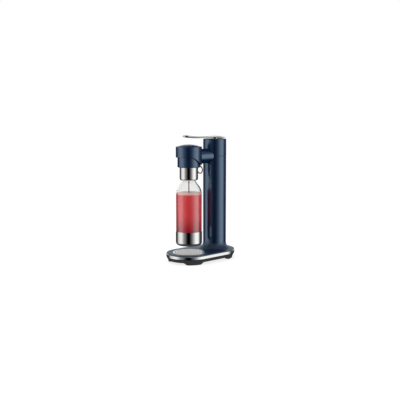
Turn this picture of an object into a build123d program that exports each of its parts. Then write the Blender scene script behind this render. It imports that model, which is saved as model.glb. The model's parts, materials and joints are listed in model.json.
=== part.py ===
import os
from math import degrees

from build123d import *

os.makedirs("parts", exist_ok=True)

# Soda carbonator: a base with a drip tray, a gas column, an arm with a head, and a bottle hung under the head.
# Millimetres. +Z is up, the floor is z = 0, -Y is the bottle side and the whole is symmetric about x = 0.

# Fits
play = 0.3             # gap between faces that move past each other
seat_gap = 0.15        # gap between pieces that sit in each other
pin_play = 0.05        # running gap of the lever pin
wall = 3.0             # moulded walls
cut_past = 1.0         # how far a cut runs past the face that it opens

# Base: tapered underbody on foot blocks, trim band, deck
base_width = 153.0
base_length = 266.0
foot_height = 8.0
pan_height = 10.0
pan_taper = 5.0
band_height = 12.5
band_thick = 4.0
band_round = 2.6
band_overhang = 1.0
deck_rise = 2.0
deck_thick = 4.0
deck_inset = 0.8
deck_round = 1.5
foot_angle = 61.0
foot_half_angle = 25.0
foot_slant = 4.0
foot_width = 15.0
foot_lean = 2.0
pad_thick = 2.0
pad_stand = 0.8
pad_margin = 2.5
base_screw_r = 1.5
base_screw_length = 9.0
base_screw_head_r = 3.6
base_screw_head = 1.6
base_post_r = 4.5
front_post_inset = 18.5
front_post_y = -8.0
rear_post_x = 25.0
rear_post_reach = 49.5

# Drip tray, concentric with the bottle
tray_r = 54.7
tray_gap = 0.5
tray_proud = 0.2
grid_thick = 1.4
grid_rim = 2.0
grid_rim_height = 1.8
grid_hole_r = 3.5
grid_hole_pitch = 9.4
grid_rings = 5
basin_flange = 1.7
basin_depth = 10.0
basin_wall = 1.8
ledge_width = 3.5
ledge_thick = 2.0
well_wall = 2.2

# Column
column_r = 39.6
column_setback = 10.5
column_top = 411.0
flare = 22.2
seam_chamfer = 0.6
rim_wall = 1.4
rim_depth = 8.0
rim_round = 0.7
cover_half_angle = 62.0
cover_rise = 8.8
cover_drop = 89.0
thumb_r = 14.0
thumb_depth = 1.6
thumb_drop = 24.0

# Arm and head
arm_drop = 57.0
arm_r = 22.5
arm_reach = 3.0
head_r = 43.5
head_rise = 35.0
head_round = 1.2
head_rear_drop = 25.5
swoop_start = 28.0
swoop_end = 32.0
lid_rise = 7.2
lid_thick = 3.0
lid_ledge = 2.5
lid_ledge_thick = 2.0
guide_count = 4
guide_start = 45.0
guide_width = 5.0
dock_ledge_drop = 19.5
dock_ledge = 3.5
dock_ledge_thick = 3.0
dock_plate_thick = 3.0
dock_r = 13.8
dock_flange_r = 18.0
dock_flange = 3.5
dock_gap = 1.8
dock_drop = 6.0
dock_seal_r = 7.0
nozzle_r = 3.0
nozzle_bore = 1.2
nozzle_length = 9.0
nozzle_root = 3.0

# Lever on the column top, pivoted at the rear
lever_inset = 0.8
lever_gap = 4.5
lever_edge = 1.5
lever_rise = 4.6
handle_root = 27.0
handle_waist = 75.0
handle_bend = 55.0
handle_past = 22.5
handle_thick = 5.6
handle_tip_lift = 7.2
handle_root_half = 21.0
handle_waist_half = 11.5
handle_tip_half = 14.5
handle_tip_round = 15.0
handle_round = 1.6
pivot_inset = 9.6
pivot_drop = 6.0
pivot_r = 2.5
lug_half = 10.0
lug_half_length = 5.0
lug_below = 5.0
ear_gap = 0.4
ear_thick = 4.5
ear_half_length = 5.0
ear_above = 4.5

# Gas side, inside the column
bracket_drop = 27.0
bracket_thick = 3.0
bracket_ledge = 3.6
bracket_ledge_thick = 3.0
bracket_screw_r = 1.0
bracket_screw_length = 5.0
bracket_screw_head_r = 1.6
bracket_screw_head = 1.8
block_r = 17.0
block_height = 35.0
socket_depth = 11.5
plunger_r = 6.0
plunger_sink = 13.0
plunger_stroke = 1.65
plunger_flange_r = 9.6
plunger_flange = 3.0
plunger_flange_rise = 16.0
plunger_dome = 2.0
pin_r = 2.0
pin_rise = 1.0
spring_wire_r = 0.8
spring_mean_r = 8.0
spring_turns = 4
cylinder_r = 30.0
cylinder_shoulder_drop = 30.0
cylinder_neck_r = 12.0
cylinder_neck_drop = 13.0
cylinder_neck = 2.0
cylinder_round = 8.0
valve_hex_r = 11.0
valve_hex = 10.0
valve_stem_r = 8.0
seal_thick = 2.0
seal_bore = 3.0
seat_wall = 2.6
seat_floor = 4.0
seat_height = 15.0
hose_rise = 11.5
hose_r = 3.0
hose_bore = 1.8
fitting_r = 4.5
fitting_length = 6.0
fitting_root = 3.0
barb_length = 9.0

# Cap with its collar, and the relief valve at its rear
cap_r = 38.0
cap_height = 39.0
cap_rise = 5.0
cap_round = 2.6
cap_top_thick = 14.0
collar_r = 30.85
collar_drop = 43.0
collar_sink = 18.0
collar_wall = 1.5
collar_round = 5.0
core_drop = 12.0
gasket_thick = 2.7
gasket_inner = 15.0
check_valve_r = 4.0
check_valve_bore = 1.0
check_valve_length = 14.0
check_valve_rise = 14.0
tube_r = 1.75
tube_bore = 1.0
tube_drop = 92.0
tube_root = 8.0
tip_r = 2.4
tip_bore = 0.5
tip_length = 5.0
relief_rise = 4.2
relief_r = 2.8
relief_bore = 1.9
relief_start = 10.0
relief_flange_r = 3.4
relief_flange = 2.5
relief_mouth = 5.0
relief_travel = 2.5
vent_r = 1.2
vent_offset = 1.6
stem_r = 1.0
stem_head_r = 1.6
stem_head = 2.0
stem_head_start = 2.0
relief_wire_r = 0.25
relief_turns = 5
eye_offset = 52.0
eye_drop = 4.2
eye_r = 2.0
eye_wall = 2.2
eye_thick = 2.4
ring_wire_r = 1.5
ring_r = 11.5

# Bottle
bottle_r = 43.0
bottle_wall = 2.5
bottle_gap = 25.0
shoulder_drop = 30.6
shoulder_round = 44.0
neck_r = 20.8
neck_sink = 1.0
neck_round = 12.0
neck_gap = 0.4
mouth_gap = 0.3
cup_wall = 1.0
cup_height = 47.5
cup_round = 11.0
drink_drop = 12.4
tip_room = 0.5

# Levels and places that follow
pan_z = foot_height
band_z = pan_z + pan_height
deck_z = band_z + band_height
deck_top = deck_z + deck_rise
deck_under = deck_top - deck_thick
end_y = (base_length - base_width) / 2
bottle_y = -end_y
column_y = end_y + column_setback
column_inner = column_r - wall
flare_top = deck_top + flare
well_r = tray_r + tray_gap
grid_top = deck_top + tray_proud
grid_low = grid_top - grid_thick - grid_rim_height
flange_low = grid_low - basin_flange
ledge_z = flange_low - play
front_post_x = base_width / 2 - front_post_inset
rear_post_y = end_y + rear_post_reach
cover_low = flare_top + cover_rise
cover_high = column_top - cover_drop
arm_z = column_top - arm_drop
head_rim_z = arm_z + head_rise
head_front_z = arm_z
head_rear_z = head_front_z - head_rear_drop
dock_ledge_z = head_rim_z - dock_ledge_drop
cap_high = arm_z + cap_rise
cap_low = cap_high - cap_height
dock_low = cap_high + dock_gap
dock_high = head_rim_z - dock_drop
lever_r = column_r - lever_inset
lever_z = column_top + lever_gap
handle_low = lever_z
handle_root_y = column_y - handle_root
handle_waist_y = column_y - handle_waist
handle_bend_y = column_y - handle_bend
handle_tip_y = bottle_y - handle_past
pivot_y = column_y + column_inner - pivot_inset
pivot_z = column_top - pivot_drop
bracket_z = column_top - bracket_drop
block_low = bracket_z - block_height
plunger_low = bracket_z - plunger_sink
plunger_flange_z = bracket_z + plunger_flange_rise
pin_low = block_low + pin_rise
cylinder_neck_z = block_low - cylinder_neck_drop
cylinder_shoulder = cylinder_neck_z - cylinder_shoulder_drop
hose_z = arm_z + hose_rise
collar_low = cap_low - collar_drop
collar_high = cap_low + collar_sink
core_low = cap_low - core_drop
check_valve_seat = core_low + check_valve_rise
tube_low = core_low - tube_drop
relief_z = cap_low + relief_rise
bottle_low = deck_top + bottle_gap
neck_low = collar_low - neck_sink
shoulder_z = neck_low - shoulder_drop
cup_high = bottle_low + cup_height
drink_high = shoulder_z - drink_drop
head_inner = head_r - wall
dock_plate_z = dock_ledge_z + dock_ledge_thick
collar_inner = collar_r - collar_wall
core_high = cap_high - cap_top_thick
mouth_z = core_low - gasket_thick - mouth_gap
cup_r = bottle_r + seat_gap + cup_wall
bottle_floor = bottle_low + cup_wall + seat_gap
bottle_round = cup_round - cup_wall - seat_gap
relief_length = cap_r + seat_gap - relief_start
eye_y = bottle_y + eye_offset
eye_z = relief_z - eye_drop
posts = [(side * x, y) for side in (-1, 1) for x, y in ((front_post_x, front_post_y), (rear_post_x, rear_post_y))]
feet = [(end, side) for end in (-1, 1) for side in (-1, 1)]
bottle_axis = Axis((0, bottle_y, 0), (0, 0, 1))
column_axis = Axis((0, column_y, 0), (0, 0, 1))
bottle_side = Plane.XZ.offset(-bottle_y)
column_side = Plane.XZ.offset(-column_y)


def at_bottle(z):
    return Plane((0, bottle_y, z))


def at_column(z):
    return Plane((0, column_y, z))


def facing_rear(y, z):
    return Plane(origin=(0, y, z), x_dir=(1, 0, 0), z_dir=(0, 1, 0))


def facing_front(y, z):
    return Plane(origin=(0, y, z), x_dir=(1, 0, 0), z_dir=(0, -1, 0))


def disc(plane, radius, height, mode=Mode.ADD):
    # Round bar or, with Mode.SUBTRACT, round hole, from the plane along its normal
    with BuildSketch(plane) as outline:
        Circle(radius)
    extrude(outline.sketch, amount=height, mode=mode)


def tube(plane, outer, inner, height):
    # Round tube from the plane along its normal
    with BuildSketch(plane) as outline:
        Circle(outer)
        Circle(inner, mode=Mode.SUBTRACT)
    extrude(outline.sketch, amount=height)


def turned(side, axis, points, radii, mode=Mode.ADD):
    # Turned piece: an outline beside the axis, rounded at its inner points, spun round the axis
    with BuildSketch(side) as outline:
        with BuildLine():
            path = FilletPolyline(*points, radius=radii)
            Line(path @ 1, path @ 0)
        make_face()
    revolve(outline.sketch, axis=axis, mode=mode)


def base_outline(inset, mode=Mode.ADD):
    # Plan of the base: straight sides and two round ends
    SlotOverall(base_length - 2 * inset, base_width - 2 * inset, rotation=90, mode=mode)


def ring_sector(inner, outer, middle, half):
    # Piece of a ring between two radii and two angles
    with BuildLine() as outline:
        outer_arc = CenterArc((0, 0), outer, middle - half, 2 * half)
        inner_arc = CenterArc((0, 0), inner, middle - half, 2 * half)
        Line(outer_arc @ 0, inner_arc @ 0)
        Line(outer_arc @ 1, inner_arc @ 1)
    make_face(outline.edges())


def save(piece, name):
    piece.part.label = name
    export_step(piece.part, f"parts/{name}.step")


# Base underbody: tapered pan with four foot blocks and recesses for the rubber pads
foot_outer = base_width / 2 - band_overhang - pan_taper
foot_inner = foot_outer - foot_width
pad_outer = foot_outer - foot_lean - pad_margin
pad_inner = foot_inner + pad_margin
pad_half_angle = foot_half_angle - 2 * foot_slant
with BuildPart() as base_pan:
    with BuildSketch(Plane.XY.offset(pan_z)):
        base_outline(band_overhang + pan_taper)
    with BuildSketch(Plane.XY.offset(band_z)):
        base_outline(band_overhang)
    loft()
    with BuildSketch(Plane.XY.offset(pan_z + wall)):
        base_outline(band_overhang + pan_taper + wall)
    with BuildSketch(Plane.XY.offset(band_z)):
        base_outline(band_overhang + wall)
    loft(mode=Mode.SUBTRACT)
    for end, side in feet:
        middle = 90 * end + side * foot_angle
        with BuildSketch(Plane((0, end * end_y, pan_z))):
            ring_sector(foot_inner, foot_outer, middle, foot_half_angle + foot_slant)
        with BuildSketch(Plane((0, end * end_y, pad_stand))):
            ring_sector(foot_inner, foot_outer - foot_lean, middle, foot_half_angle - foot_slant)
        loft()
        with BuildSketch(Plane((0, end * end_y, pad_stand))):
            ring_sector(pad_inner, pad_outer, middle, pad_half_angle)
        extrude(amount=pad_thick - pad_stand, mode=Mode.SUBTRACT)
    with BuildSketch(Plane.XY.offset(pan_z)):
        with Locations(*posts):
            Circle(base_screw_r + seat_gap)
    extrude(amount=wall, mode=Mode.SUBTRACT)
    with BuildSketch(Plane.XY.offset(pan_z)):
        with Locations(*posts):
            Circle(base_screw_head_r + seat_gap)
    extrude(amount=base_screw_head, mode=Mode.SUBTRACT)
save(base_pan, "base_pan")

with BuildPart() as rubber_feet:
    for end, side in feet:
        with BuildSketch(Plane((0, end * end_y, 0))):
            ring_sector(
                pad_inner + seat_gap,
                pad_outer - seat_gap,
                90 * end + side * foot_angle,
                pad_half_angle - degrees(seat_gap / pad_inner),
            )
        extrude(amount=pad_thick)
save(rubber_feet, "rubber_feet")

with BuildPart() as base_screws:
    with BuildSketch(Plane.XY.offset(pan_z)):
        with Locations(*posts):
            Circle(base_screw_head_r)
    extrude(amount=base_screw_head)
    with BuildSketch(Plane.XY.offset(pan_z + base_screw_head)):
        with Locations(*posts):
            Circle(base_screw_r)
    extrude(amount=base_screw_length)
save(base_screws, "base_screws")

# Polished band round the base, rolled over at its top and bottom edges
with BuildPart() as base_trim_band:
    with BuildSketch(Plane.XY.offset(band_z)):
        base_outline(0)
        base_outline(band_thick, Mode.SUBTRACT)
    extrude(amount=band_height)
    rolled = ShapeList()
    for face in (faces().sort_by(Axis.Z)[0], faces().sort_by(Axis.Z)[-1]):
        rolled += face.outer_wire().edges()
    fillet(rolled, radius=min(band_round, 0.4 * band_height, 0.8 * band_thick))
save(base_trim_band, "base_trim_band")

# Deck: top moulding with the flare that the column stands on and the well of the drip tray
with BuildPart() as base_deck:
    with BuildSketch(Plane.XY.offset(deck_z)):
        base_outline(deck_inset)
    extrude(amount=deck_rise)
    fillet(faces().sort_by(Axis.Z)[-1].edges(), radius=min(deck_round, 0.8 * deck_rise))
    with BuildSketch(Plane.XY.offset(deck_under)):
        base_outline(band_thick + seat_gap)
    extrude(amount=deck_z - deck_under)
    with BuildSketch(column_side):
        with BuildLine():
            sweep_in = CenterArc((column_r + flare, flare_top), flare, 180, 90)
            Polyline(
                sweep_in @ 1,
                (column_r + flare, deck_under),
                (column_inner, deck_under),
                (column_inner, flare_top),
                sweep_in @ 0,
            )
        make_face()
    revolve(axis=column_axis)
    disc(at_bottle(ledge_z - ledge_thick), well_r + well_wall, deck_under - ledge_z + ledge_thick)
    disc(at_bottle(ledge_z), well_r, deck_top - ledge_z + cut_past, Mode.SUBTRACT)
    disc(at_bottle(ledge_z - ledge_thick), well_r - ledge_width, ledge_thick + cut_past, Mode.SUBTRACT)
    with BuildSketch(Plane.XY.offset(pan_z + wall)):
        with Locations(*posts):
            Circle(base_post_r)
            Circle(base_screw_r + seat_gap, mode=Mode.SUBTRACT)
    extrude(amount=deck_under - pan_z - wall)
save(base_deck, "base_deck")

# Drip tray: a basin in the well and a perforated grid on its flange
bowl_r = well_r - ledge_width - play
basin_low = flange_low - basin_depth
with BuildPart() as drip_basin:
    turned(
        bottle_side,
        bottle_axis,
        [
            (0, basin_low),
            (bowl_r, basin_low),
            (bowl_r, flange_low),
            (tray_r, flange_low),
            (tray_r, grid_low),
            (bowl_r - basin_wall, grid_low),
            (bowl_r - basin_wall, basin_low + basin_wall),
            (0, basin_low + basin_wall),
        ],
        [basin_wall, 0, 0, 0, 0, 0],
    )
save(drip_basin, "drip_basin")

with BuildPart() as drip_grid:
    with BuildSketch(at_bottle(grid_top - grid_thick)):
        Circle(tray_r)
        Circle(grid_hole_r, mode=Mode.SUBTRACT)
        for ring in range(1, grid_rings + 1):
            with PolarLocations(ring * grid_hole_pitch, 6 * ring):
                Circle(grid_hole_r, mode=Mode.SUBTRACT)
    extrude(amount=grid_thick)
    tube(at_bottle(grid_low), tray_r, tray_r - grid_rim, grid_rim_height)
save(drip_grid, "drip_grid")

# Column: lower shell open at the rear, its cover, and the head above the seam
with BuildPart() as column_shell:
    tube(at_column(flare_top), column_r, column_inner, arm_z - flare_top)
    chamfer(edges().group_by(Axis.Z)[-1].sort_by(SortBy.RADIUS)[-1], length=seam_chamfer)
    with BuildSketch(at_column(cover_low)):
        ring_sector(column_inner - cut_past, column_r + cut_past, 90, cover_half_angle)
    extrude(amount=cover_high - cover_low, mode=Mode.SUBTRACT)
    disc(facing_front(column_y, arm_z), arm_r + seat_gap, column_r + cut_past, Mode.SUBTRACT)
save(column_shell, "column_shell")

thumb_ball = (thumb_r**2 + thumb_depth**2) / (2 * thumb_depth)
with BuildPart() as rear_cover:
    with BuildSketch(at_column(cover_low + play)):
        ring_sector(column_inner, column_r, 90, cover_half_angle - degrees(play / column_inner))
    extrude(amount=cover_high - cover_low - 2 * play)
    with Locations((0, column_y + column_r - thumb_depth + thumb_ball, cover_high - thumb_drop)):
        Sphere(thumb_ball, mode=Mode.SUBTRACT)
save(rear_cover, "rear_cover")

screw_circle = column_inner - bracket_ledge / 2
with BuildPart() as column_head:
    tube(at_column(arm_z), column_r, column_inner, column_top - arm_z)
    chamfer(edges().group_by(Axis.Z)[0].sort_by(SortBy.RADIUS)[-1], length=seam_chamfer)
    fillet(edges().group_by(Axis.Z)[-1].sort_by(SortBy.RADIUS)[-1], radius=min(rim_round, 0.6 * rim_wall))
    disc(at_column(column_top - rim_depth), column_r - rim_wall, rim_depth + cut_past, Mode.SUBTRACT)
    tube(
        at_column(bracket_z - bracket_ledge_thick),
        column_inner,
        column_inner - bracket_ledge,
        bracket_ledge_thick,
    )
    with BuildSketch(at_column(bracket_z - bracket_ledge_thick)):
        with PolarLocations(screw_circle, 4, start_angle=45):
            Circle(bracket_screw_r + seat_gap)
    extrude(amount=bracket_ledge_thick, mode=Mode.SUBTRACT)
    disc(facing_front(column_y, arm_z), arm_r + seat_gap, column_r + cut_past, Mode.SUBTRACT)
save(column_head, "column_head")

# Arm: tube from inside the column to inside the head
with BuildPart() as arm_shell:
    tube(facing_rear(bottle_y, arm_z), arm_r, arm_r - wall, column_y - bottle_y)
    disc(at_bottle(arm_z - 2 * arm_r), head_inner, 4 * arm_r, Mode.SUBTRACT)
    disc(at_column(arm_z - 2 * arm_r), column_inner - arm_reach, 4 * arm_r, Mode.SUBTRACT)
save(arm_shell, "arm_shell")

# Head: housing whose lower edge sweeps down to the rear, with guide ribs for the cap, and a domed lid
guide_mid = (cap_r + play + head_inner) / 2
guide_depth = head_inner - cap_r - play
with BuildPart() as head_housing:
    tube(at_bottle(head_rear_z), head_r, head_inner, head_rim_z - head_rear_z)
    fillet(edges().group_by(Axis.Z)[-1].sort_by(SortBy.RADIUS)[-1], radius=head_round)
    with BuildSketch(Plane.YZ):
        with BuildLine():
            swoop = Spline(
                (bottle_y - swoop_start, head_front_z),
                (bottle_y + swoop_end, head_rear_z),
                tangents=[(1, 0), (1, 0)],
            )
            Polyline(
                swoop @ 1,
                (bottle_y + swoop_end, head_rear_z - cut_past),
                (bottle_y - head_r - cut_past, head_rear_z - cut_past),
                (bottle_y - head_r - cut_past, head_front_z),
                swoop @ 0,
            )
        make_face()
    extrude(amount=head_r + cut_past, both=True, mode=Mode.SUBTRACT)
    tube(at_bottle(dock_ledge_z), head_inner, head_inner - dock_ledge, dock_ledge_thick)
    tube(
        at_bottle(head_rim_z - lid_thick - lid_ledge_thick),
        head_inner,
        head_inner - lid_ledge,
        lid_ledge_thick,
    )
    with BuildSketch(at_bottle(head_front_z + cut_past)):
        with PolarLocations(guide_mid + wall / 4, guide_count, start_angle=guide_start):
            Rectangle(guide_depth + wall / 2, guide_width)
    extrude(amount=dock_ledge_z - head_front_z - cut_past)
    disc(facing_rear(bottle_y, arm_z), arm_r + seat_gap, head_r + cut_past, Mode.SUBTRACT)
save(head_housing, "head_housing")

lid_r = head_inner - seat_gap
lid_low = head_rim_z - lid_thick
with BuildPart() as head_lid:
    with BuildSketch(bottle_side):
        with BuildLine():
            dome = TangentArc((0, head_rim_z + lid_rise), (lid_r, head_rim_z), tangent=(1, 0))
            Polyline(dome @ 1, (lid_r, lid_low), (0, lid_low), dome @ 0)
        make_face()
    revolve(axis=bottle_axis)
save(head_lid, "head_lid")

# Dock inside the head: plate, block with its gas port, nozzle and face seal
with BuildPart() as dock_plate:
    tube(at_bottle(dock_plate_z), head_inner - seat_gap, dock_r + seat_gap, dock_plate_thick)
save(dock_plate, "dock_plate")

with BuildPart() as dock_block:
    disc(at_bottle(dock_low), dock_r, dock_high - dock_low)
    disc(at_bottle(dock_plate_z + dock_plate_thick), dock_flange_r, dock_flange)
    disc(at_bottle(dock_low), nozzle_r + seat_gap, nozzle_root, Mode.SUBTRACT)
    disc(at_bottle(dock_low), nozzle_bore, hose_z - dock_low, Mode.SUBTRACT)
    disc(facing_rear(bottle_y, hose_z), nozzle_bore, dock_r, Mode.SUBTRACT)
    disc(
        facing_rear(bottle_y + dock_r - fitting_root - seat_gap, hose_z),
        hose_r + seat_gap,
        fitting_root + cut_past,
        Mode.SUBTRACT,
    )
save(dock_block, "dock_block")

with BuildPart() as dock_nozzle:
    tube(at_bottle(dock_low - nozzle_length), nozzle_r, nozzle_bore, nozzle_length + nozzle_root)
save(dock_nozzle, "dock_nozzle")

with BuildPart() as dock_seal:
    tube(at_bottle(cap_high + play), dock_seal_r, nozzle_r + seat_gap, dock_low - cap_high - play)
save(dock_seal, "dock_seal")

# Lever: a lens-shaped plate over the column that runs out into an upturned handle
with BuildPart() as handle:
    with BuildSketch(Plane.YZ):
        with BuildLine():
            under = TangentArc(
                (handle_bend_y, handle_low),
                (handle_tip_y, handle_low + handle_tip_lift),
                tangent=(-1, 0),
            )
            over = TangentArc(
                (handle_bend_y, handle_low + handle_thick),
                (handle_tip_y, handle_low + handle_tip_lift + handle_thick),
                tangent=(-1, 0),
            )
            Polyline(
                under @ 0,
                (handle_root_y, handle_low),
                (handle_root_y, handle_low + handle_thick),
                over @ 0,
            )
            Line(under @ 1, over @ 1)
        make_face()
    extrude(amount=2 * handle_root_half, both=True)
    with BuildSketch(Plane.XY.offset(handle_low - handle_thick)):
        with BuildLine():
            edge = Spline(
                (handle_root_half, handle_root_y),
                (handle_waist_half, handle_waist_y),
                (handle_tip_half, handle_tip_y + handle_tip_round),
                tangents=[(-1, -2), (0, -1)],
            )
            ThreePointArc(edge @ 1, (0, handle_tip_y), (-handle_tip_half, handle_tip_y + handle_tip_round))
            mirror(edge, about=Plane.YZ)
            Line(edge @ 0, (-handle_root_half, handle_root_y))
        make_face()
    extrude(amount=4 * handle_thick + handle_tip_lift, mode=Mode.INTERSECT)
    fillet(
        edges().filter_by(lambda piece_edge: piece_edge.center().Y < handle_root_y - cut_past),
        radius=min(handle_round, 0.4 * handle_thick),
    )
with BuildPart() as lever:
    with BuildSketch(column_side):
        with BuildLine():
            crown = TangentArc((0, lever_z + lever_rise), (lever_r, lever_z + lever_edge), tangent=(1, 0))
            Polyline(crown @ 1, (lever_r, lever_z), (0, lever_z), crown @ 0)
        make_face()
    revolve(axis=column_axis)
    add(handle.part)
save(lever, "lever")

with BuildPart() as lever_lug:
    with BuildSketch(Plane.YZ):
        with Locations((pivot_y, pivot_z - lug_below)):
            Rectangle(2 * lug_half_length, lever_z - pivot_z + lug_below, align=(Align.CENTER, Align.MIN))
        with Locations((pivot_y, pivot_z)):
            Circle(pivot_r + pin_play, mode=Mode.SUBTRACT)
    extrude(amount=lug_half, both=True)
save(lever_lug, "lever_lug")

with BuildPart() as lever_pivot_pin:
    with BuildSketch(Plane.YZ):
        with Locations((pivot_y, pivot_z)):
            Circle(pivot_r)
    extrude(amount=lug_half + ear_gap + ear_thick, both=True)
save(lever_pivot_pin, "lever_pivot_pin")

# Bracket in the column head: plate on the ledge, with two ears for the lever pin
ear_inner = lug_half + ear_gap
with BuildPart() as pivot_bracket:
    tube(at_column(bracket_z), column_inner - seat_gap, plunger_r + play, bracket_thick)
    for side in (-1, 1):
        with BuildSketch(Plane.YZ.offset(side * (ear_inner + ear_thick / 2))):
            with Locations((pivot_y, bracket_z + bracket_thick)):
                Rectangle(
                    2 * ear_half_length,
                    pivot_z + ear_above - bracket_z - bracket_thick,
                    align=(Align.CENTER, Align.MIN),
                )
            with Locations((pivot_y, pivot_z)):
                Circle(pivot_r + pin_play, mode=Mode.SUBTRACT)
        extrude(amount=ear_thick / 2, both=True)
    with BuildSketch(at_column(bracket_z)):
        with PolarLocations(screw_circle, 4, start_angle=45):
            Circle(bracket_screw_r + seat_gap)
    extrude(amount=bracket_thick, mode=Mode.SUBTRACT)
save(pivot_bracket, "pivot_bracket")

with BuildPart() as bracket_screws:
    with BuildSketch(at_column(bracket_z + bracket_thick)):
        with PolarLocations(screw_circle, 4, start_angle=45):
            Circle(bracket_screw_head_r)
    extrude(amount=bracket_screw_head)
    with BuildSketch(at_column(bracket_z + bracket_thick)):
        with PolarLocations(screw_circle, 4, start_angle=45):
            Circle(bracket_screw_r)
    extrude(amount=-bracket_screw_length)
save(bracket_screws, "bracket_screws")

# Gas valve under the lever: block, plunger with its return spring, and the pin that opens the cylinder
socket_top = block_low + socket_depth
with BuildPart() as valve_block:
    disc(at_column(block_low), block_r, bracket_z - block_low)
    disc(at_column(block_low), valve_stem_r + play, socket_depth, Mode.SUBTRACT)
    disc(at_column(block_low), pin_r + play, bracket_z - block_low, Mode.SUBTRACT)
    plunger_bottom = plunger_low - plunger_stroke - play
    disc(at_column(plunger_bottom), plunger_r + play, bracket_z - plunger_bottom, Mode.SUBTRACT)
    disc(facing_front(column_y, hose_z), nozzle_bore, block_r, Mode.SUBTRACT)
    disc(
        facing_front(column_y - block_r + fitting_root + seat_gap, hose_z),
        hose_r + seat_gap,
        fitting_root + cut_past,
        Mode.SUBTRACT,
    )
save(valve_block, "valve_block")

plunger_top = lever_z - play
with BuildPart() as press_plunger:
    with BuildSketch(column_side):
        with BuildLine():
            nose = TangentArc((0, plunger_top), (plunger_r, plunger_top - plunger_dome), tangent=(1, 0))
            Polyline(
                nose @ 1,
                (plunger_r, plunger_flange_z + plunger_flange),
                (plunger_flange_r, plunger_flange_z + plunger_flange),
                (plunger_flange_r, plunger_flange_z),
                (plunger_r, plunger_flange_z),
                (plunger_r, plunger_low),
                (0, plunger_low),
                nose @ 0,
            )
        make_face()
    revolve(axis=column_axis)
save(press_plunger, "press_plunger")

with BuildPart() as valve_pin:
    disc(at_column(pin_low), pin_r, plunger_low - pin_low)
save(valve_pin, "valve_pin")

spring_low = bracket_z + bracket_thick + spring_wire_r + seat_gap
spring_high = plunger_flange_z - spring_wire_r - seat_gap
with BuildPart() as return_spring:
    with BuildLine() as coil:
        Helix(
            (spring_high - spring_low) / spring_turns,
            spring_high - spring_low,
            spring_mean_r,
            center=(0, column_y, spring_low),
        )
    with BuildSketch(Plane(origin=coil.line @ 0, z_dir=coil.line % 0)):
        Circle(spring_wire_r)
    sweep(path=coil.line, is_frenet=True)
save(return_spring, "return_spring")

# Gas cylinder with its valve, standing in a seat on the deck
cylinder_low = deck_top + seat_floor
with BuildPart() as gas_cylinder:
    with BuildSketch(column_side):
        with BuildLine():
            shoulder = TangentArc(
                (cylinder_r, cylinder_shoulder),
                (cylinder_neck_r, cylinder_neck_z - cylinder_neck),
                tangent=(0, 1),
            )
            Line(shoulder @ 1, (cylinder_neck_r, cylinder_neck_z))
            lower = FilletPolyline(
                (cylinder_neck_r, cylinder_neck_z),
                (0, cylinder_neck_z),
                (0, cylinder_low),
                (cylinder_r, cylinder_low),
                (cylinder_r, cylinder_shoulder),
                radius=[0, 0, cylinder_round],
            )
        make_face()
    revolve(axis=column_axis)
save(gas_cylinder, "gas_cylinder")

with BuildPart() as cylinder_valve:
    with BuildSketch(at_column(cylinder_neck_z)):
        RegularPolygon(valve_hex_r, 6)
    extrude(amount=valve_hex)
    valve_top = socket_top - seal_thick
    disc(at_column(cylinder_neck_z + valve_hex), valve_stem_r, valve_top - cylinder_neck_z - valve_hex)
    pin_floor = pin_low - plunger_stroke - play
    disc(at_column(pin_floor), pin_r + play, valve_top - pin_floor, Mode.SUBTRACT)
save(cylinder_valve, "cylinder_valve")

with BuildPart() as valve_seal:
    tube(at_column(valve_top), valve_stem_r, seal_bore, seal_thick)
save(valve_seal, "valve_seal")

seat_r = cylinder_r + seat_gap
with BuildPart() as cylinder_seat:
    disc(at_column(deck_top), seat_r + seat_wall, seat_height)
    disc(at_column(cylinder_low), seat_r, seat_height, Mode.SUBTRACT)
save(cylinder_seat, "cylinder_seat")

# Hose through the arm, from the valve block to the dock, on two barbed fittings
hose_front = bottle_y + dock_r
hose_rear = column_y - block_r
with BuildPart() as hose_fittings:
    for root in (facing_rear(hose_front, hose_z), facing_front(hose_rear, hose_z)):
        disc(root.offset(-fitting_root), hose_r, fitting_root)
        disc(root, fitting_r, fitting_length)
        disc(root.offset(fitting_length), hose_bore - seat_gap, barb_length)
        disc(root.offset(-fitting_root), nozzle_bore, fitting_root + fitting_length + barb_length, Mode.SUBTRACT)
save(hose_fittings, "hose_fittings")

with BuildPart() as gas_hose:
    tube(
        facing_rear(hose_front + fitting_length, hose_z),
        hose_r,
        hose_bore,
        hose_rear - hose_front - 2 * fitting_length,
    )
save(gas_hose, "gas_hose")

# Cap: navy body, polished collar, thread liner and gasket for the bottle, and the core with its valves
with BuildPart() as cap_body:
    disc(at_bottle(cap_low), cap_r, cap_high - cap_low)
    fillet(edges().filter_by(GeomType.CIRCLE), radius=cap_round)
    disc(at_bottle(cap_low), collar_r + seat_gap, core_high - cap_low, Mode.SUBTRACT)
    disc(at_bottle(core_high), nozzle_r + play, cap_top_thick, Mode.SUBTRACT)
    disc(facing_rear(bottle_y, relief_z), relief_r + seat_gap, cap_r + cut_past, Mode.SUBTRACT)
save(cap_body, "cap_body")

lip_r = neck_r + 2 * neck_gap
with BuildPart() as cap_collar:
    turned(
        bottle_side,
        bottle_axis,
        [
            (lip_r, collar_low),
            (collar_r, collar_low),
            (collar_r, collar_high),
            (collar_inner, collar_high),
            (collar_inner, collar_low + collar_wall),
            (lip_r, collar_low + collar_wall),
        ],
        [collar_round, 0, 0, collar_round - collar_wall],
    )
    disc(facing_rear(bottle_y, relief_z), relief_r + seat_gap, cap_r, Mode.SUBTRACT)
save(cap_collar, "cap_collar")

liner_low = collar_low + collar_round
with BuildPart() as cap_liner:
    tube(at_bottle(liner_low), collar_inner - seat_gap, neck_r + neck_gap, core_low - liner_low)
save(cap_liner, "cap_liner")

with BuildPart() as cap_gasket:
    tube(at_bottle(core_low - gasket_thick), neck_r, gasket_inner, gasket_thick)
save(cap_gasket, "cap_gasket")

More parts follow.
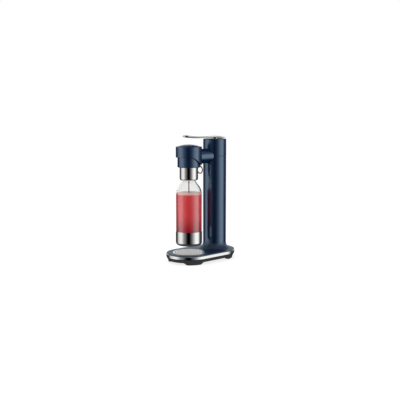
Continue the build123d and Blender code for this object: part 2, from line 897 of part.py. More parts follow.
with BuildPart() as cap_core:
    disc(at_bottle(core_low), collar_inner - seat_gap, core_high - core_low)
    disc(at_bottle(core_low), tube_r + seat_gap, tube_root, Mode.SUBTRACT)
    disc(at_bottle(core_low), tube_bore, core_high - core_low, Mode.SUBTRACT)
    disc(at_bottle(check_valve_seat), check_valve_r + seat_gap, core_high - check_valve_seat, Mode.SUBTRACT)
    disc(
        facing_rear(bottle_y + relief_start, relief_z),
        relief_r + seat_gap,
        cap_r,
        Mode.SUBTRACT,
    )
    disc(Plane((0, bottle_y + relief_start + vent_offset, core_low)), vent_r, relief_z - core_low, Mode.SUBTRACT)
save(cap_core, "cap_core")

with BuildPart() as check_valve:
    tube(at_bottle(check_valve_seat), check_valve_r, check_valve_bore, check_valve_length)
save(check_valve, "check_valve")

with BuildPart() as carbonation_tube:
    tube(at_bottle(tube_low), tube_r, tube_bore, core_low + tube_root - tube_low)
save(carbonation_tube, "carbonation_tube")

with BuildPart() as tube_tip:
    disc(at_bottle(tube_low - tip_length), tip_r, tip_length)
    chamfer(edges().filter_by(GeomType.CIRCLE).sort_by(Axis.Z)[0], length=0.4 * tip_r)
    disc(at_bottle(tube_low - tip_length), tip_bore, tip_length, Mode.SUBTRACT)
save(tube_tip, "tube_tip")

# Relief valve at the rear of the cap: body, stem with an eye, spring and pull ring
relief_root = bottle_y + relief_start
with BuildPart() as relief_valve_body:
    disc(facing_rear(relief_root, relief_z), relief_r, relief_length)
    disc(facing_rear(relief_root + relief_length, relief_z), relief_flange_r, relief_flange)
    bore_depth = relief_length + relief_flange - relief_mouth
    disc(facing_rear(relief_root, relief_z), relief_bore, bore_depth, Mode.SUBTRACT)
    disc(facing_rear(relief_root + bore_depth, relief_z), stem_r + play, relief_mouth, Mode.SUBTRACT)
save(relief_valve_body, "relief_valve_body")

stem_root = relief_root + stem_head_start
eye_outer = eye_r + eye_wall
with BuildPart() as relief_stem:
    disc(facing_rear(stem_root, relief_z), stem_head_r, stem_head)
    disc(facing_rear(stem_root, relief_z), stem_r, eye_y - stem_root)
    with BuildSketch(Plane.YZ):
        with Locations((eye_y, (relief_z + eye_z) / 2)):
            SlotCenterToCenter(eye_drop, 2 * eye_outer, rotation=90)
        with Locations((eye_y, eye_z)):
            Circle(eye_r, mode=Mode.SUBTRACT)
    extrude(amount=eye_thick / 2, both=True)
save(relief_stem, "relief_stem")

coil_start = stem_root + stem_head + relief_travel + play + relief_wire_r
coil_end = relief_root + bore_depth - relief_wire_r - seat_gap
with BuildPart() as relief_spring:
    with BuildLine() as fine_coil:
        Helix(
            (coil_end - coil_start) / relief_turns,
            coil_end - coil_start,
            relief_bore - relief_wire_r - seat_gap,
            center=(0, coil_start, relief_z),
            direction=(0, 1, 0),
        )
    with BuildSketch(Plane(origin=fine_coil.line @ 0, z_dir=fine_coil.line % 0)):
        Circle(relief_wire_r)
    sweep(path=fine_coil.line, is_frenet=True)
save(relief_spring, "relief_spring")

with BuildPart() as pull_ring:
    with BuildSketch(Plane((0, eye_y, eye_z - ring_r))):
        with Locations((ring_r, 0)):
            Circle(ring_wire_r)
    revolve(axis=Axis((0, eye_y, eye_z - ring_r), (0, 1, 0)))
save(pull_ring, "pull_ring")

# Bottle with its base cup and the drink
with BuildPart() as bottle:
    turned(
        bottle_side,
        bottle_axis,
        [
            (0, bottle_floor),
            (bottle_r, bottle_floor),
            (bottle_r, shoulder_z),
            (neck_r, neck_low),
            (neck_r, mouth_z),
            (0, mouth_z),
        ],
        [bottle_round, shoulder_round, neck_round, 0],
    )
    offset(amount=-bottle_wall, openings=faces().sort_by(Axis.Z)[-1])
save(bottle, "bottle")

with BuildPart() as bottle_base_cup:
    cup_points = [(0, bottle_low), (cup_r, bottle_low), (cup_r, cup_high), (0, cup_high)]
    turned(bottle_side, bottle_axis, cup_points, [cup_round, 0])
    offset(amount=-cup_wall, openings=faces().sort_by(Axis.Z)[-1])
save(bottle_base_cup, "bottle_base_cup")

drink_r = bottle_r - bottle_wall - seat_gap
drink_low = bottle_floor + bottle_wall + seat_gap
with BuildPart() as drink:
    turned(
        bottle_side,
        bottle_axis,
        [(0, drink_low), (drink_r, drink_low), (drink_r, drink_high), (0, drink_high)],
        [bottle_round - bottle_wall - seat_gap, 0],
    )
    tip_floor = tube_low - tip_length - tip_room
    disc(at_bottle(tip_floor), tip_r + tip_room, drink_high - tip_floor, Mode.SUBTRACT)
save(drink, "drink")
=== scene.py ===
import json
import math

import bmesh
import bpy
import numpy as np
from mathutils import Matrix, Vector
from mathutils.geometry import delaunay_2d_cdt


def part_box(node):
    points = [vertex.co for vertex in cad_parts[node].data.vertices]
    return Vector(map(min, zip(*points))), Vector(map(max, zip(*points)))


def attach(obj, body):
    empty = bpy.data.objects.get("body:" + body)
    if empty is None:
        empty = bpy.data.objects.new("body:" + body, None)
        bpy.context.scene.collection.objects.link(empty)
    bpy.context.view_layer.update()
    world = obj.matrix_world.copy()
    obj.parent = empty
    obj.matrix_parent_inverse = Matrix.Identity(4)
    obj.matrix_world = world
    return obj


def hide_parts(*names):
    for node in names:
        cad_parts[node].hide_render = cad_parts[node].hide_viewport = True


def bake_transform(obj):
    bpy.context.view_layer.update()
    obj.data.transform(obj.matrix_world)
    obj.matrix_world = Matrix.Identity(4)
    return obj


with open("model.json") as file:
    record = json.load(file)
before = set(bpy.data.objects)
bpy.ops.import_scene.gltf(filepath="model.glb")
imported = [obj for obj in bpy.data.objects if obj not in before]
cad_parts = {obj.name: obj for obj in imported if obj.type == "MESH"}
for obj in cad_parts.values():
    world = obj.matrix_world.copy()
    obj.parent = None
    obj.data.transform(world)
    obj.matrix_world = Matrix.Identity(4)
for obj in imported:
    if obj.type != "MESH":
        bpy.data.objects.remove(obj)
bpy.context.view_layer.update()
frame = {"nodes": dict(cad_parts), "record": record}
nodes = frame["nodes"]
mm = 0.001
fullTurn = 2 * math.pi
print("frame loaded with", len(nodes), "nodes")


def span(node):
    # lowest and highest corner of a CAD node as two arrays, in metres
    low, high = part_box(node)
    return np.array(low), np.array(high)


def middle(node):
    low, high = span(node)
    return (low + high) / 2


def radiusOf(node):
    # half of the node's width in x, which is its radius where it is round
    low, high = span(node)
    return (high[0] - low[0]) / 2


bottleY = middle("cap_body")[1]
columnY = middle("column_shell")[1]


# meshes from whole arrays

def circleAngles(count):
    # equally spaced angles round a circle
    return np.arange(count) * fullTurn / count


def ease(t):
    # rises from 0 to 1 with level ends
    return t * t * (3 - 2 * t)


def softMax(a, b, width):
    # the larger of two arrays, with the corner between them rounded over the given width
    gap = np.clip(0.5 + 0.5 * (a - b) / width, 0, 1)
    return b + (a - b) * gap + width * gap * (1 - gap)


def gridFaces(rows, columns, wrapRows, wrapColumns):
    # quads between neighbours of a rows x columns grid of points, wrapped where the surface closes
    rowCount = rows if wrapRows else rows - 1
    columnCount = columns if wrapColumns else columns - 1
    r, c = np.meshgrid(np.arange(rowCount), np.arange(columnCount), indexing="ij")
    nextR = (r + 1) % rows
    nextC = (c + 1) % columns
    quads = [r * columns + c, nextR * columns + c, nextR * columns + nextC, r * columns + nextC]
    return np.stack(quads, axis=-1).reshape(-1, 4)


def makePiece(name, surfaces, material, body, smoothAngle):
    # one mesh object from several (points, faces) surfaces, whose faces count from their own first point
    points = np.concatenate([surface[0].reshape(-1, 3) for surface in surfaces])
    faces = []
    start = 0
    for surfacePoints, surfaceFaces in surfaces:
        faces += (surfaceFaces + start).tolist()
        start += surfacePoints.size // 3
    mesh = bpy.data.meshes.new(name)
    mesh.from_pydata(points.tolist(), [], faces)
    mesh.validate()
    obj = bpy.data.objects.new(name, mesh)
    bpy.context.scene.collection.objects.link(obj)
    closeMesh(mesh)
    mesh.shade_smooth()
    mesh.set_sharp_from_angle(angle=math.radians(smoothAngle))
    mesh.materials.append(material)
    if body:
        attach(obj, body)
    return obj


seams = {"merge": 1e-6, "sliver": 1e-7}


def closeMesh(mesh):
    # merges the doubled points at poles and seams, then turns every face outwards
    work = bmesh.new()
    work.from_mesh(mesh)
    bmesh.ops.remove_doubles(work, verts=work.verts, dist=seams["merge"])
    bmesh.ops.dissolve_degenerate(work, dist=seams["sliver"], edges=work.edges)
    bmesh.ops.recalc_face_normals(work, faces=work.faces)
    work.to_mesh(mesh)
    work.free()


def rounded(points, radii, steps):
    # polyline with its corners made circular arcs, which touch both legs at radius / tan(half the angle)
    points = np.asarray(points, float)
    out = [points[:1]]
    for before, corner, after, radius in zip(points[:-2], points[1:-1], points[2:], radii):
        if radius <= 0:
            out.append(corner[None])
            continue
        legA = (before - corner) / np.linalg.norm(before - corner)
        legB = (after - corner) / np.linalg.norm(after - corner)
        half = math.acos(np.clip(np.dot(legA, legB), -1, 1)) / 2
        bisector = (legA + legB) / np.linalg.norm(legA + legB)
        centre = corner + bisector * radius / math.sin(half)
        start = corner + legA * radius / math.tan(half) - centre
        end = corner + legB * radius / math.tan(half) - centre
        turn = math.atan2(start[0] * end[1] - start[1] * end[0], np.dot(start, end))
        angles = np.linspace(0, turn, steps + 1)
        arc = np.stack([start[0] * np.cos(angles) - start[1] * np.sin(angles),
                        start[0] * np.sin(angles) + start[1] * np.cos(angles)], axis=1)
        out.append(centre + arc)
    out.append(points[-1:])
    return np.concatenate(out)


def lathe(profile, centreY, segments, closed=False):
    # profile of (radius, height) spun about the vertical through (0, centreY)
    angles = circleAngles(segments)
    radius = profile[None, :, 0]
    points = np.stack([radius * np.cos(angles)[:, None],
                       centreY + radius * np.sin(angles)[:, None],
                       np.broadcast_to(profile[None, :, 1], (segments, len(profile)))], axis=-1)
    return points, gridFaces(segments, len(profile), True, closed)


# materials

def srgb(code):
    # sRGB hex colour to linear RGBA
    channels = [int(code[i:i + 2], 16) / 255 for i in (1, 3, 5)]
    linear = [c / 12.92 if c <= 0.04045 else ((c + 0.055) / 1.055) ** 2.4 for c in channels]
    return (*linear, 1.0)


def addNode(tree, kind, settings=None, inputs=None, links=None):
    # one node with its settings, socket values and incoming links
    node = tree.nodes.new(kind)
    for key, value in (settings or {}).items():
        setattr(node, key, value)
    for key, value in (inputs or {}).items():
        node.inputs[key].default_value = value
    for key, source in (links or {}).items():
        tree.links.new(source, node.inputs[key])
    return node


def addNoise(tree, where, sizeMm, detail):
    # cloudy grey pattern whose patches are about sizeMm across
    noise = addNode(tree, "ShaderNodeTexNoise", None, {"Scale": 1 / (sizeMm * mm), "Detail": detail},
                    {"Vector": where})
    return noise.outputs["Fac"]


def addRange(tree, value, start, end, toStart=0.0, toEnd=1.0, kind="LINEAR"):
    # maps the values from start to end onto another range
    ends = {"From Min": start, "From Max": end, "To Min": toStart, "To Max": toEnd}
    mapped = addNode(tree, "ShaderNodeMapRange", {"interpolation_type": kind}, ends, {"Value": value})
    return mapped.outputs["Result"]


def addSmooth(tree, value, start, end):
    # rises smoothly from 0 at start to 1 at end
    return addRange(tree, value, start, end, kind="SMOOTHSTEP")


def addTint(tree, under, over, share):
    # one colour laid over another by a share; the lower one is a colour or another node's output
    linked = isinstance(under, bpy.types.NodeSocket)
    tint = addNode(tree, "ShaderNodeMix", {"data_type": "RGBA"}, {"B": over}, {"Factor": share})
    if linked:
        tree.links.new(under, tint.inputs["A"])
    else:
        tint.inputs["A"].default_value = under
    return tint.outputs["Result"]


def addMath(tree, operation, first, second):
    # two node outputs joined by one operation
    joined = addNode(tree, "ShaderNodeMath", {"operation": operation}, None, {0: first, 1: second})
    return joined.outputs["Value"]


def addBump(tree, shader, height, strength, distanceMm):
    # relief on a shader's surface from a grey pattern
    bump = addNode(tree, "ShaderNodeBump", None, {"Strength": strength, "Distance": distanceMm * mm},
                   {"Height": height})
    tree.links.new(bump.outputs["Normal"], shader.inputs["Normal"])


def newMaterial(name, sockets):
    # a material with a Principled shader whose plain sockets are set from a dictionary
    material = bpy.data.materials.new(name)
    material.use_nodes = True
    tree = material.node_tree
    shader = tree.nodes["Principled BSDF"]
    for key, value in sockets.items():
        shader.inputs[key].default_value = value
    where = addNode(tree, "ShaderNodeTexCoord").outputs["Object"]
    return material, tree, shader, where


navyPaint = {"base": "#001b3e", "deep": "#001838", "sheen": "#b6d3ef", "index": 1.9, "satin": 0.21,
             "matt": 0.42, "cloudMm": 40, "peelMm": 1.6, "bump": 0.03, "bumpMm": 0.1}


def makeNavyPaint(name, roughness):
    # navy paint on moulded shells: even colour, soft wide gloss, the faint orange peel of sprayed paint
    p = navyPaint
    material, tree, shader, where = newMaterial(name, {
        "Roughness": roughness, "IOR": p["index"], "Specular IOR Level": 1.0,
        "Specular Tint": srgb(p["sheen"])})
    tint = addTint(tree, srgb(p["deep"]), srgb(p["base"]), addNoise(tree, where, p["cloudMm"], 3))
    tree.links.new(tint, shader.inputs["Base Color"])
    addBump(tree, shader, addNoise(tree, where, p["peelMm"], 2), p["bump"], p["bumpMm"])
    return material


polish = {"base": "#d9d9d7", "mirror": 0.07, "satin": 0.2, "spread": 0.05, "lineMm": 0.5, "stretch": 0.04,
          "bump": 0.02, "bumpMm": 0.05}


def makePolishedSteel(name, roughness):
    # polished stainless steel: mirror or satin gloss, with faint buffing lines that run round the piece
    p = polish
    material, tree, shader, where = newMaterial(name, {"Base Color": srgb(p["base"]), "Metallic": 1.0})
    stretched = addNode(tree, "ShaderNodeMapping", None, {"Scale": (p["stretch"], p["stretch"], 1.0)},
                        {"Vector": where})
    lines = addNoise(tree, stretched.outputs["Vector"], p["lineMm"], 3)
    rough = addRange(tree, lines, 0, 1, roughness, roughness + p["spread"])
    tree.links.new(rough, shader.inputs["Roughness"])
    addBump(tree, shader, lines, p["bump"], p["bumpMm"])
    return material


moulded = {"cloudMm": 30, "paler": 1.18, "spread": 0.06, "bumpMm": 0.1}


def makeMoulded(name, base, roughness, grainMm, depth, metallic=0.0, specular=0.5):
    # moulded or cast surface: fine spark-eroded grain that breaks up the gloss, colour slightly uneven
    p = moulded
    material, tree, shader, where = newMaterial(name, {"Metallic": metallic, "Specular IOR Level": specular})
    colour = srgb(base)
    paler = tuple(min(1.0, c * p["paler"]) for c in colour[:3]) + (1.0,)
    tint = addTint(tree, colour, paler, addNoise(tree, where, p["cloudMm"], 2))
    tree.links.new(tint, shader.inputs["Base Color"])
    grain = addNoise(tree, where, grainMm, 4)
    rough = addRange(tree, grain, 0, 1, roughness - p["spread"], roughness + p["spread"])
    tree.links.new(rough, shader.inputs["Roughness"])
    addBump(tree, shader, grain, depth, p["bumpMm"])
    return material


clearLook = {"clear": "#fafcfc", "headspaceShade": "#f9fafa", "headspaceFrom": -2, "headspaceTo": 6, "roughness": 0.02,
             "index": 1.5, "skinLow": 0.8, "skinHigh": 0.3, "skinRoughness": 0.08, "skinIndex": 2.0,
             "waveMm": 18, "bump": 0.01, "bumpMm": 0.2}


def makeClearPlastic(surfaceZ):
    # clear copolyester: water-clear, with a blown bottle's soft waves, glossier over the drink than above,
    # and a painted shade that greys it slightly above the drink
    p = clearLook
    material, tree, shader, where = newMaterial("clearCopolyester", {
        "Roughness": p["roughness"], "IOR": p["index"], "Transmission Weight": 1.0,
        "Coat Roughness": p["skinRoughness"], "Coat IOR": p["skinIndex"]})
    axes = addNode(tree, "ShaderNodeSeparateXYZ", None, None, {"Vector": where})
    above = addSmooth(tree, axes.outputs["Z"], surfaceZ + p["headspaceFrom"] * mm, surfaceZ + p["headspaceTo"] * mm)
    # painted shade: the tint turns slightly greyer above the drink
    tree.links.new(addTint(tree, srgb(p["clear"]), srgb(p["headspaceShade"]), above), shader.inputs["Base Color"])
    skin = addRange(tree, above, 0, 1, p["skinLow"], p["skinHigh"])
    tree.links.new(skin, shader.inputs["Coat Weight"])
    addBump(tree, shader, addNoise(tree, where, p["waveMm"], 1), p["bump"], p["bumpMm"])
    return material


drinkLook = {"red": "#f85f63", "deep": "#ee464f", "lowTone": "#ba2036", "froth": "#ffaea4", "frothMm": 7,
             "lowToneMm": 72, "cupCover": 8, "bubbleMm": 1.4, "wander": 3.5, "wanderDown": -1.7,
             "cloudMm": 22, "roughness": 0.5, "index": 1.34, "specular": 0.1}


def makeRedDrink(cupTop, surfaceZ):
    # cloudy red fruit drink: darker towards the bottom, paling to fine froth under the surface
    p = drinkLook
    material, tree, shader, where = newMaterial("redFruitDrink", {
        "Roughness": p["roughness"], "IOR": p["index"], "Specular IOR Level": p["specular"]})
    height = addNode(tree, "ShaderNodeSeparateXYZ", None, None, {"Vector": where}).outputs["Z"]
    bubbles = addNoise(tree, where, p["bubbleMm"], 2)
    wander = addNode(tree, "ShaderNodeMath", {"operation": "MULTIPLY_ADD"},
                     {1: p["wander"] * mm, 2: p["wanderDown"] * mm}, {0: bubbles})
    uneven = addMath(tree, "ADD", height, wander.outputs["Value"])
    layer = addSmooth(tree, uneven, surfaceZ - p["frothMm"] * mm, surfaceZ)
    floorZ = cupTop - p["cupCover"] * mm
    # darker towards the bottom of the drink
    towardsBottom = addSmooth(tree, height, floorZ + p["lowToneMm"] * mm, floorZ)
    body = addTint(tree, srgb(p["deep"]), srgb(p["red"]), addNoise(tree, where, p["cloudMm"], 3))
    lowerToned = addTint(tree, body, srgb(p["lowTone"]), towardsBottom)
    tree.links.new(addTint(tree, lowerToned, srgb(p["froth"]), layer), shader.inputs["Base Color"])
    return material


navy = makeNavyPaint("navySatinPaint", navyPaint["satin"])
navyDeck = makeNavyPaint("navyMattPaint", navyPaint["matt"])
steel = makePolishedSteel("polishedStainless", polish["mirror"])
satinSteel = makePolishedSteel("satinStainless", polish["satin"])
darkAbs = makeMoulded("darkGreyAbs", "#3a3a3d", 0.5, 0.35, 0.12)
rubber = makeMoulded("blackRubber", "#18181a", 0.78, 0.5, 0.2)
brass = makeMoulded("turnedBrass", "#b9954f", 0.3, 0.4, 0.05, metallic=1.0)
zinc = makeMoulded("zincPlatedSteel", "#a5a6a8", 0.35, 0.4, 0.06, metallic=1.0)
aluminium = makeMoulded("brushedAluminium", "#c4c6c8", 0.34, 0.5, 0.05, metallic=1.0)
darkWire = makeMoulded("darkCoatedSteel", "#1b1c1f", 0.36, 0.4, 0.05)
# dull, so that the dip tube stays a dark line in the bottle
mattTube = makeMoulded("blackenedSteelTube", "#08080a", 0.6, 0.4, 0.05, specular=0.05)
drinkSurface = span("drink")[1][2]
clear = makeClearPlastic(drinkSurface)
red = makeRedDrink(span("bottle_base_cup")[1][2], drinkSurface)
frothy = makeMoulded("fruitFroth", "#ffcfc4", 0.6, 1.3, 0.4)
slotMaterials = {"navy_shell": navy, "polished_steel": steel, "dark_abs": darkAbs, "black_rubber": rubber,
                 "machined_brass": brass, "plain_steel": zinc, "dark_wire": darkWire,
                 "bare_aluminium": aluminium, "clear_bottle": clear, "red_drink": red}
for part in frame["record"]["subparts"]:
    mesh = nodes[part["node"]].data
    mesh.materials.clear()
    mesh.materials.append(slotMaterials[part["material_slot"]])
for node, material in (("carbonation_tube", mattTube), ("tube_tip", mattTube), ("base_deck", navyDeck)):
    nodes[node].data.materials[0] = material
print("materials on", len(slotMaterials), "slots")


# the lever: a crowned disc over the column that runs out into a spoon-shaped handle

leverLook = {"rows": 260, "ring": 96, "discEdge": 1.5, "discCrown": 7.2, "handleThick": 5.6, "tipRise": 7.2,
             "tipThick": 8.2, "bend": 55.0, "rootHalf": 21.0, "waistHalf": 11.5, "tipHalf": 14.5,
             "waist": 75.0, "tipRound": 15.0, "root": 27.0, "neckBlend": 9.0, "neckFrom": 0.4, "neckTo": 2.2,
             "dish": 0.9, "dishPower": 2.6, "shareFrom": 6.0, "shareLength": 38.0, "tipThin": 0.6}
leverOval = {"discSide": 0.4, "handleSide": 0.25, "discRim": 0.3, "handleRim": 0.35}


def makeLever():
    # cross-sections along Y, each a flat oval: half width is the disc's chord or the handle's width,
    # whichever is wider, with the corner between them rounded; the top is the disc's crown blended into the
    # rising handle
    p = leverLook
    o = leverOval
    low, high = span("lever")
    under = low[2]
    discR = high[0]
    tipY = low[1]
    along = (1 - np.cos(np.linspace(0, math.pi, p["rows"]))) / 2
    y = high[1] + (tipY - high[1]) * along
    ahead = (columnY - y) / mm
    tipAhead = (columnY - tipY) / mm
    chord = np.sqrt(np.clip(discR ** 2 - (y - columnY) ** 2, 0, None))
    # half width: from the root to the waist, out again to the tip, and round at the end
    waistT = np.clip((ahead - p["root"]) / (p["waist"] - p["root"]), 0, 1)
    tipStart = tipAhead - p["tipRound"]
    tipT = np.clip((ahead - p["waist"]) / (tipStart - p["waist"]), 0, 1)
    half = p["rootHalf"] + (p["waistHalf"] - p["rootHalf"]) * np.sin(waistT * math.pi / 2)
    half = half + (p["tipHalf"] - p["waistHalf"]) * ease(tipT)
    endT = np.clip((ahead - tipStart) / p["tipRound"], 0, 1)
    half = half * np.sqrt(np.clip(1 - endT ** 2, 0, None)) * mm
    half = np.where(ahead > p["root"] * p["neckFrom"], half, 0)
    width = np.where(ahead > 0, softMax(chord, half, p["neckBlend"] * mm), chord)
    width = np.where(ahead > p["root"] * p["neckTo"], half, width)
    # heights of the top and the underside, from the disc's share to the handle's
    climb = np.clip((ahead - p["bend"]) / (tipAhead - p["bend"]), 0, 1)[:, None]
    share = ease(np.clip((ahead - p["shareFrom"]) / p["shareLength"], 0, 1))[:, None]
    angles = circleAngles(p["ring"])[None, :]
    side = np.cos(angles)
    rise = np.sin(angles)
    across = np.sign(side) * np.abs(side) ** (o["discSide"] + o["handleSide"] * share)
    x = width[:, None] * across
    radial = np.clip(np.hypot(x, (y - columnY)[:, None]) / discR, 0, 1)
    discTop = under + (p["discEdge"] + (p["discCrown"] - p["discEdge"]) * (1 - radial ** 2)) * mm
    edgeward = p["dish"] * mm * np.abs(across) ** p["dishPower"]
    thick = (p["handleThick"] + (p["tipThick"] - p["handleThick"]) * climb) * mm
    handleTop = under + (p["handleThick"] + p["tipRise"] * climb ** 2) * mm - edgeward
    handleLow = handleTop + edgeward * 2 - thick
    top = discTop * (1 - share) + handleTop * share
    bottom = under * (1 - share) + handleLow * share
    between = (top + bottom) / 2
    rim = np.abs(rise) ** (o["discRim"] + o["handleRim"] * share)
    rim = rim * np.sqrt(1 - p["tipThin"] * endT ** 2)[:, None]
    z = between + (top - between) * rim * np.sign(rise)
    points = np.stack([x, np.broadcast_to(y[:, None], x.shape), z], axis=-1)
    surface = (points, gridFaces(p["rows"], p["ring"], False, True))
    lever = makePiece("leverSpoon", [surface], satinSteel, "lever", smoothAngle=60)
    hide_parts("lever")
    print("lever", len(lever.data.polygons), "faces")


# the drip grid: a round plate pierced by rings of holes, with a turned-down rim

gridLook = {"holeR": 3.6, "pitch": 9.4, "rings": 5, "perRing": 6, "thick": 1.4, "rim": 2.0, "edgeRound": 0.7,
            "holeRound": 0.35, "holeSegments": 24, "rimSegments": 160, "roundSteps": 4, "merge": 1e-6}


def makeGrid():
    # hole centres in rings of 6, 12, 18 and on; each hole is a small rounded profile spun about its own
    # centre, flat faces fill the plate between the holes and its edge, and the edge and rim are a profile
    # spun about the middle
    p = gridLook
    low, high = span("drip_grid")
    outerR = high[0] / mm
    top = high[2] / mm
    under = top - p["thick"]
    rings = [[[0.0, 0.0]]]
    for ring in range(1, p["rings"] + 1):
        turn = circleAngles(p["perRing"] * ring)
        rings.append(ring * p["pitch"] * np.stack([np.cos(turn), np.sin(turn)], axis=1))
    centres = np.concatenate(rings)
    turn = circleAngles(p["holeSegments"])
    unit = np.stack([np.cos(turn), np.sin(turn)], axis=1)
    bend = np.linspace(0, math.pi / 2, p["roundSteps"])
    wallR = np.append(p["holeR"] + p["holeRound"] * (1 - np.sin(bend)), p["holeR"])
    wallZ = np.append(top - p["holeRound"] * (1 - np.cos(bend)), under)
    loops = centres[:, None, None, :] + wallR[None, :, None, None] * unit[None, None, :, :]
    height = np.broadcast_to(wallZ[None, :, None, None], loops.shape[:3] + (1,))
    walls = np.concatenate([loops, height], axis=-1)
    oneHole = gridFaces(len(wallR), len(unit), False, True)
    first = np.arange(len(centres)) * len(wallR) * len(unit)
    wallFaces = (oneHole[None] + first[:, None, None]).reshape(-1, 4)
    around = circleAngles(p["rimSegments"])
    circle = np.stack([np.cos(around), np.sin(around)], axis=1)
    topFlat = np.concatenate([circle * (outerR - p["edgeRound"]), loops[:, 0].reshape(-1, 2)])
    underFlat = np.concatenate([circle * (outerR - p["rim"]), loops[:, -1].reshape(-1, 2)])
    holeIndex = len(circle) + np.arange(loops[:, 0].size // 2).reshape(len(centres), -1)
    outline = [np.arange(len(circle))] + list(holeIndex)
    edges = np.concatenate([np.stack([loop, np.roll(loop, -1)], axis=1) for loop in outline])
    filled = delaunay_2d_cdt([Vector(point) for point in topFlat], edges.tolist(), [], 1, p["merge"])
    source = np.array([origin[0] for origin in filled[3]])
    flatFaces = source[np.array(filled[2])]
    # hole that each corner stands on, negative on the outer circle
    owner = (flatFaces - len(circle)) // len(unit)
    overHole = (owner[:, 0] >= 0) & (owner == owner[:, :1]).all(axis=1)
    flatFaces = flatFaces[~overHole]
    topFace = np.column_stack([topFlat, np.full(len(topFlat), top)])
    underFace = np.column_stack([underFlat, np.full(len(underFlat), under)])
    edge = np.stack([outerR - p["edgeRound"] * (1 - np.sin(bend)),
                     top - p["edgeRound"] * (1 - np.cos(bend))], axis=1)
    skirt = [(outerR, low[2] / mm), (outerR - p["rim"], low[2] / mm), (outerR - p["rim"], under)]
    rim, rimFaces = lathe(np.concatenate([edge, skirt]), 0.0, p["rimSegments"])
    place = np.array([0.0, bottleY, 0.0])
    surfaces = [(walls, wallFaces), (topFace, flatFaces), (underFace, flatFaces), (rim, rimFaces)]
    placed = [(points * mm + place, faces) for points, faces in surfaces]
    grid = makePiece("piercedGrid", placed, steel, "drip_grid", smoothAngle=40)
    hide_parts("drip_grid")
    print("grid with", len(centres), "holes,", len(grid.data.polygons), "faces")


# the bottle with its drink

bottleLook = {"wall": 2.5, "shoulder": 245.4, "shoulderRound": 44.0, "neck": 20.8, "neckLow": 276.0,
              "neckRound": 12.0, "floorRound": 9.85, "roundSteps": 18, "segments": 160}


def makeBottle():
    # outline of floor, wall, shoulder and neck with rounded corners; the inner skin is that line moved in
    # by the wall's thickness
    p = bottleLook
    low, high = span("bottle")
    corners = np.array([(0, low[2] / mm), (high[0] / mm, low[2] / mm), (high[0] / mm, p["shoulder"]),
                        (p["neck"], p["neckLow"]), (p["neck"], high[2] / mm)])
    outer = rounded(corners, (p["floorRound"], p["shoulderRound"], p["neckRound"]), p["roundSteps"])
    step = np.gradient(outer, axis=0)
    normal = np.stack([-step[:, 1], step[:, 0]], 1) / np.linalg.norm(step, axis=1)[:, None]
    inner = outer + normal * p["wall"]
    inner[0] = (0, outer[0, 1] + p["wall"])
    inner[-1, 1] = outer[-1, 1]
    lip = [(p["neck"] - p["wall"] / 2, outer[-1, 1])]
    profile = np.concatenate([outer, lip, inner[::-1]]) * mm
    surface = lathe(profile, bottleY, p["segments"])
    bottle = makePiece("clearBottle", [surface], clear, "bottle", smoothAngle=40)
    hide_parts("bottle")
    bottle.visible_shadow = False  # clear walls let the lamps reach the drink
    print("bottle", len(bottle.data.polygons), "faces")


drinkShape = {"contact": 0.3, "frothDeep": 2.0, "hole": 3.0, "tipGap": 0.5, "floorGap": 0.25,
              "cornerRound": 7.6, "roundSteps": 10, "segments": 128}


def makeDrink():
    # fills the bottle to just inside its wall, so no air shows between them, with a well for the dip tube
    p = drinkShape
    low, high = span("drink")
    inside = span("bottle")[1][0] / mm - bottleLook["wall"] + p["contact"]
    tipLow = span("tube_tip")[0][2] / mm - p["tipGap"]
    floorZ = low[2] / mm - p["floorGap"]
    surfaceZ = high[2] / mm - p["frothDeep"]
    corners = [(0, floorZ), (inside, floorZ), (inside, surfaceZ), (p["hole"], surfaceZ), (p["hole"], tipLow),
               (0, tipLow)]
    profile = rounded(corners, (p["cornerRound"], 0, 0, 0), p["roundSteps"]) * mm
    surface = lathe(profile, bottleY, p["segments"])
    body = makePiece("drinkBody", [surface], red, "bottle", smoothAngle=40)
    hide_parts("drink")
    print("drink", len(body.data.polygons), "faces")
    makeFroth(inside, surfaceZ)


frothShape = {"rise": 2.4, "middle": 0.55, "edge": 0.45, "edgePower": 4, "lump": 0.35, "clear": 0.05,
              "segments": 160, "across": 26}
frothWaves = {"fine": 23, "fineSlant": 1.1, "fineAcross": 0.9, "fineShift": 1.3, "spiral": 41,
              "spiralSlant": 0.7, "spiralHeight": 0.6, "broad": 9, "broadShift": 2.0, "broadAcross": 0.45,
              "broadHeight": 0.5}


def makeFroth(inside, surfaceZ):
    # ring on the drink whose top climbs to the wall by a power of the radius, with lumps from three sets of
    # sine waves round it and across it
    p = frothShape
    w = frothWaves
    part = np.linspace(0, 1, p["across"])
    hole = drinkShape["hole"]
    a, r = np.meshgrid(circleAngles(p["segments"]), hole + (inside - hole) * part, indexing="ij")
    fine = np.sin(a * w["fine"] + r * w["fineSlant"]) * np.sin(r * w["fineAcross"] + w["fineShift"])
    spiral = w["spiralHeight"] * np.sin(a * w["spiral"] - r * w["spiralSlant"])
    broad = w["broadHeight"] * np.sin(a * w["broad"] + w["broadShift"]) * np.sin(r * w["broadAcross"])
    crown = p["rise"] * (p["middle"] + p["edge"] * part[None, :] ** p["edgePower"])
    topZ = surfaceZ + drinkShape["frothDeep"] + crown + p["lump"] * (fine + spiral + broad)
    lowZ = np.full(r.shape, surfaceZ + p["clear"])
    x = r * np.cos(a)
    y = bottleY / mm + r * np.sin(a)
    upper = np.stack([x, y, topZ], axis=-1)
    lower = np.stack([x, y, lowZ], axis=-1)
    loop = np.concatenate([upper, lower[:, ::-1]], axis=1) * mm
    surface = (loop, gridFaces(p["segments"], 2 * p["across"], True, True))
    froth = makePiece("drinkFroth", [surface], frothy, "bottle", smoothAngle=50)
    print("froth", len(froth.data.polygons), "faces")


# the pull ring, a loop of dark coated wire through the relief stem's eye

ringLook = {"wire": 1.85, "around": 96, "across": 24}


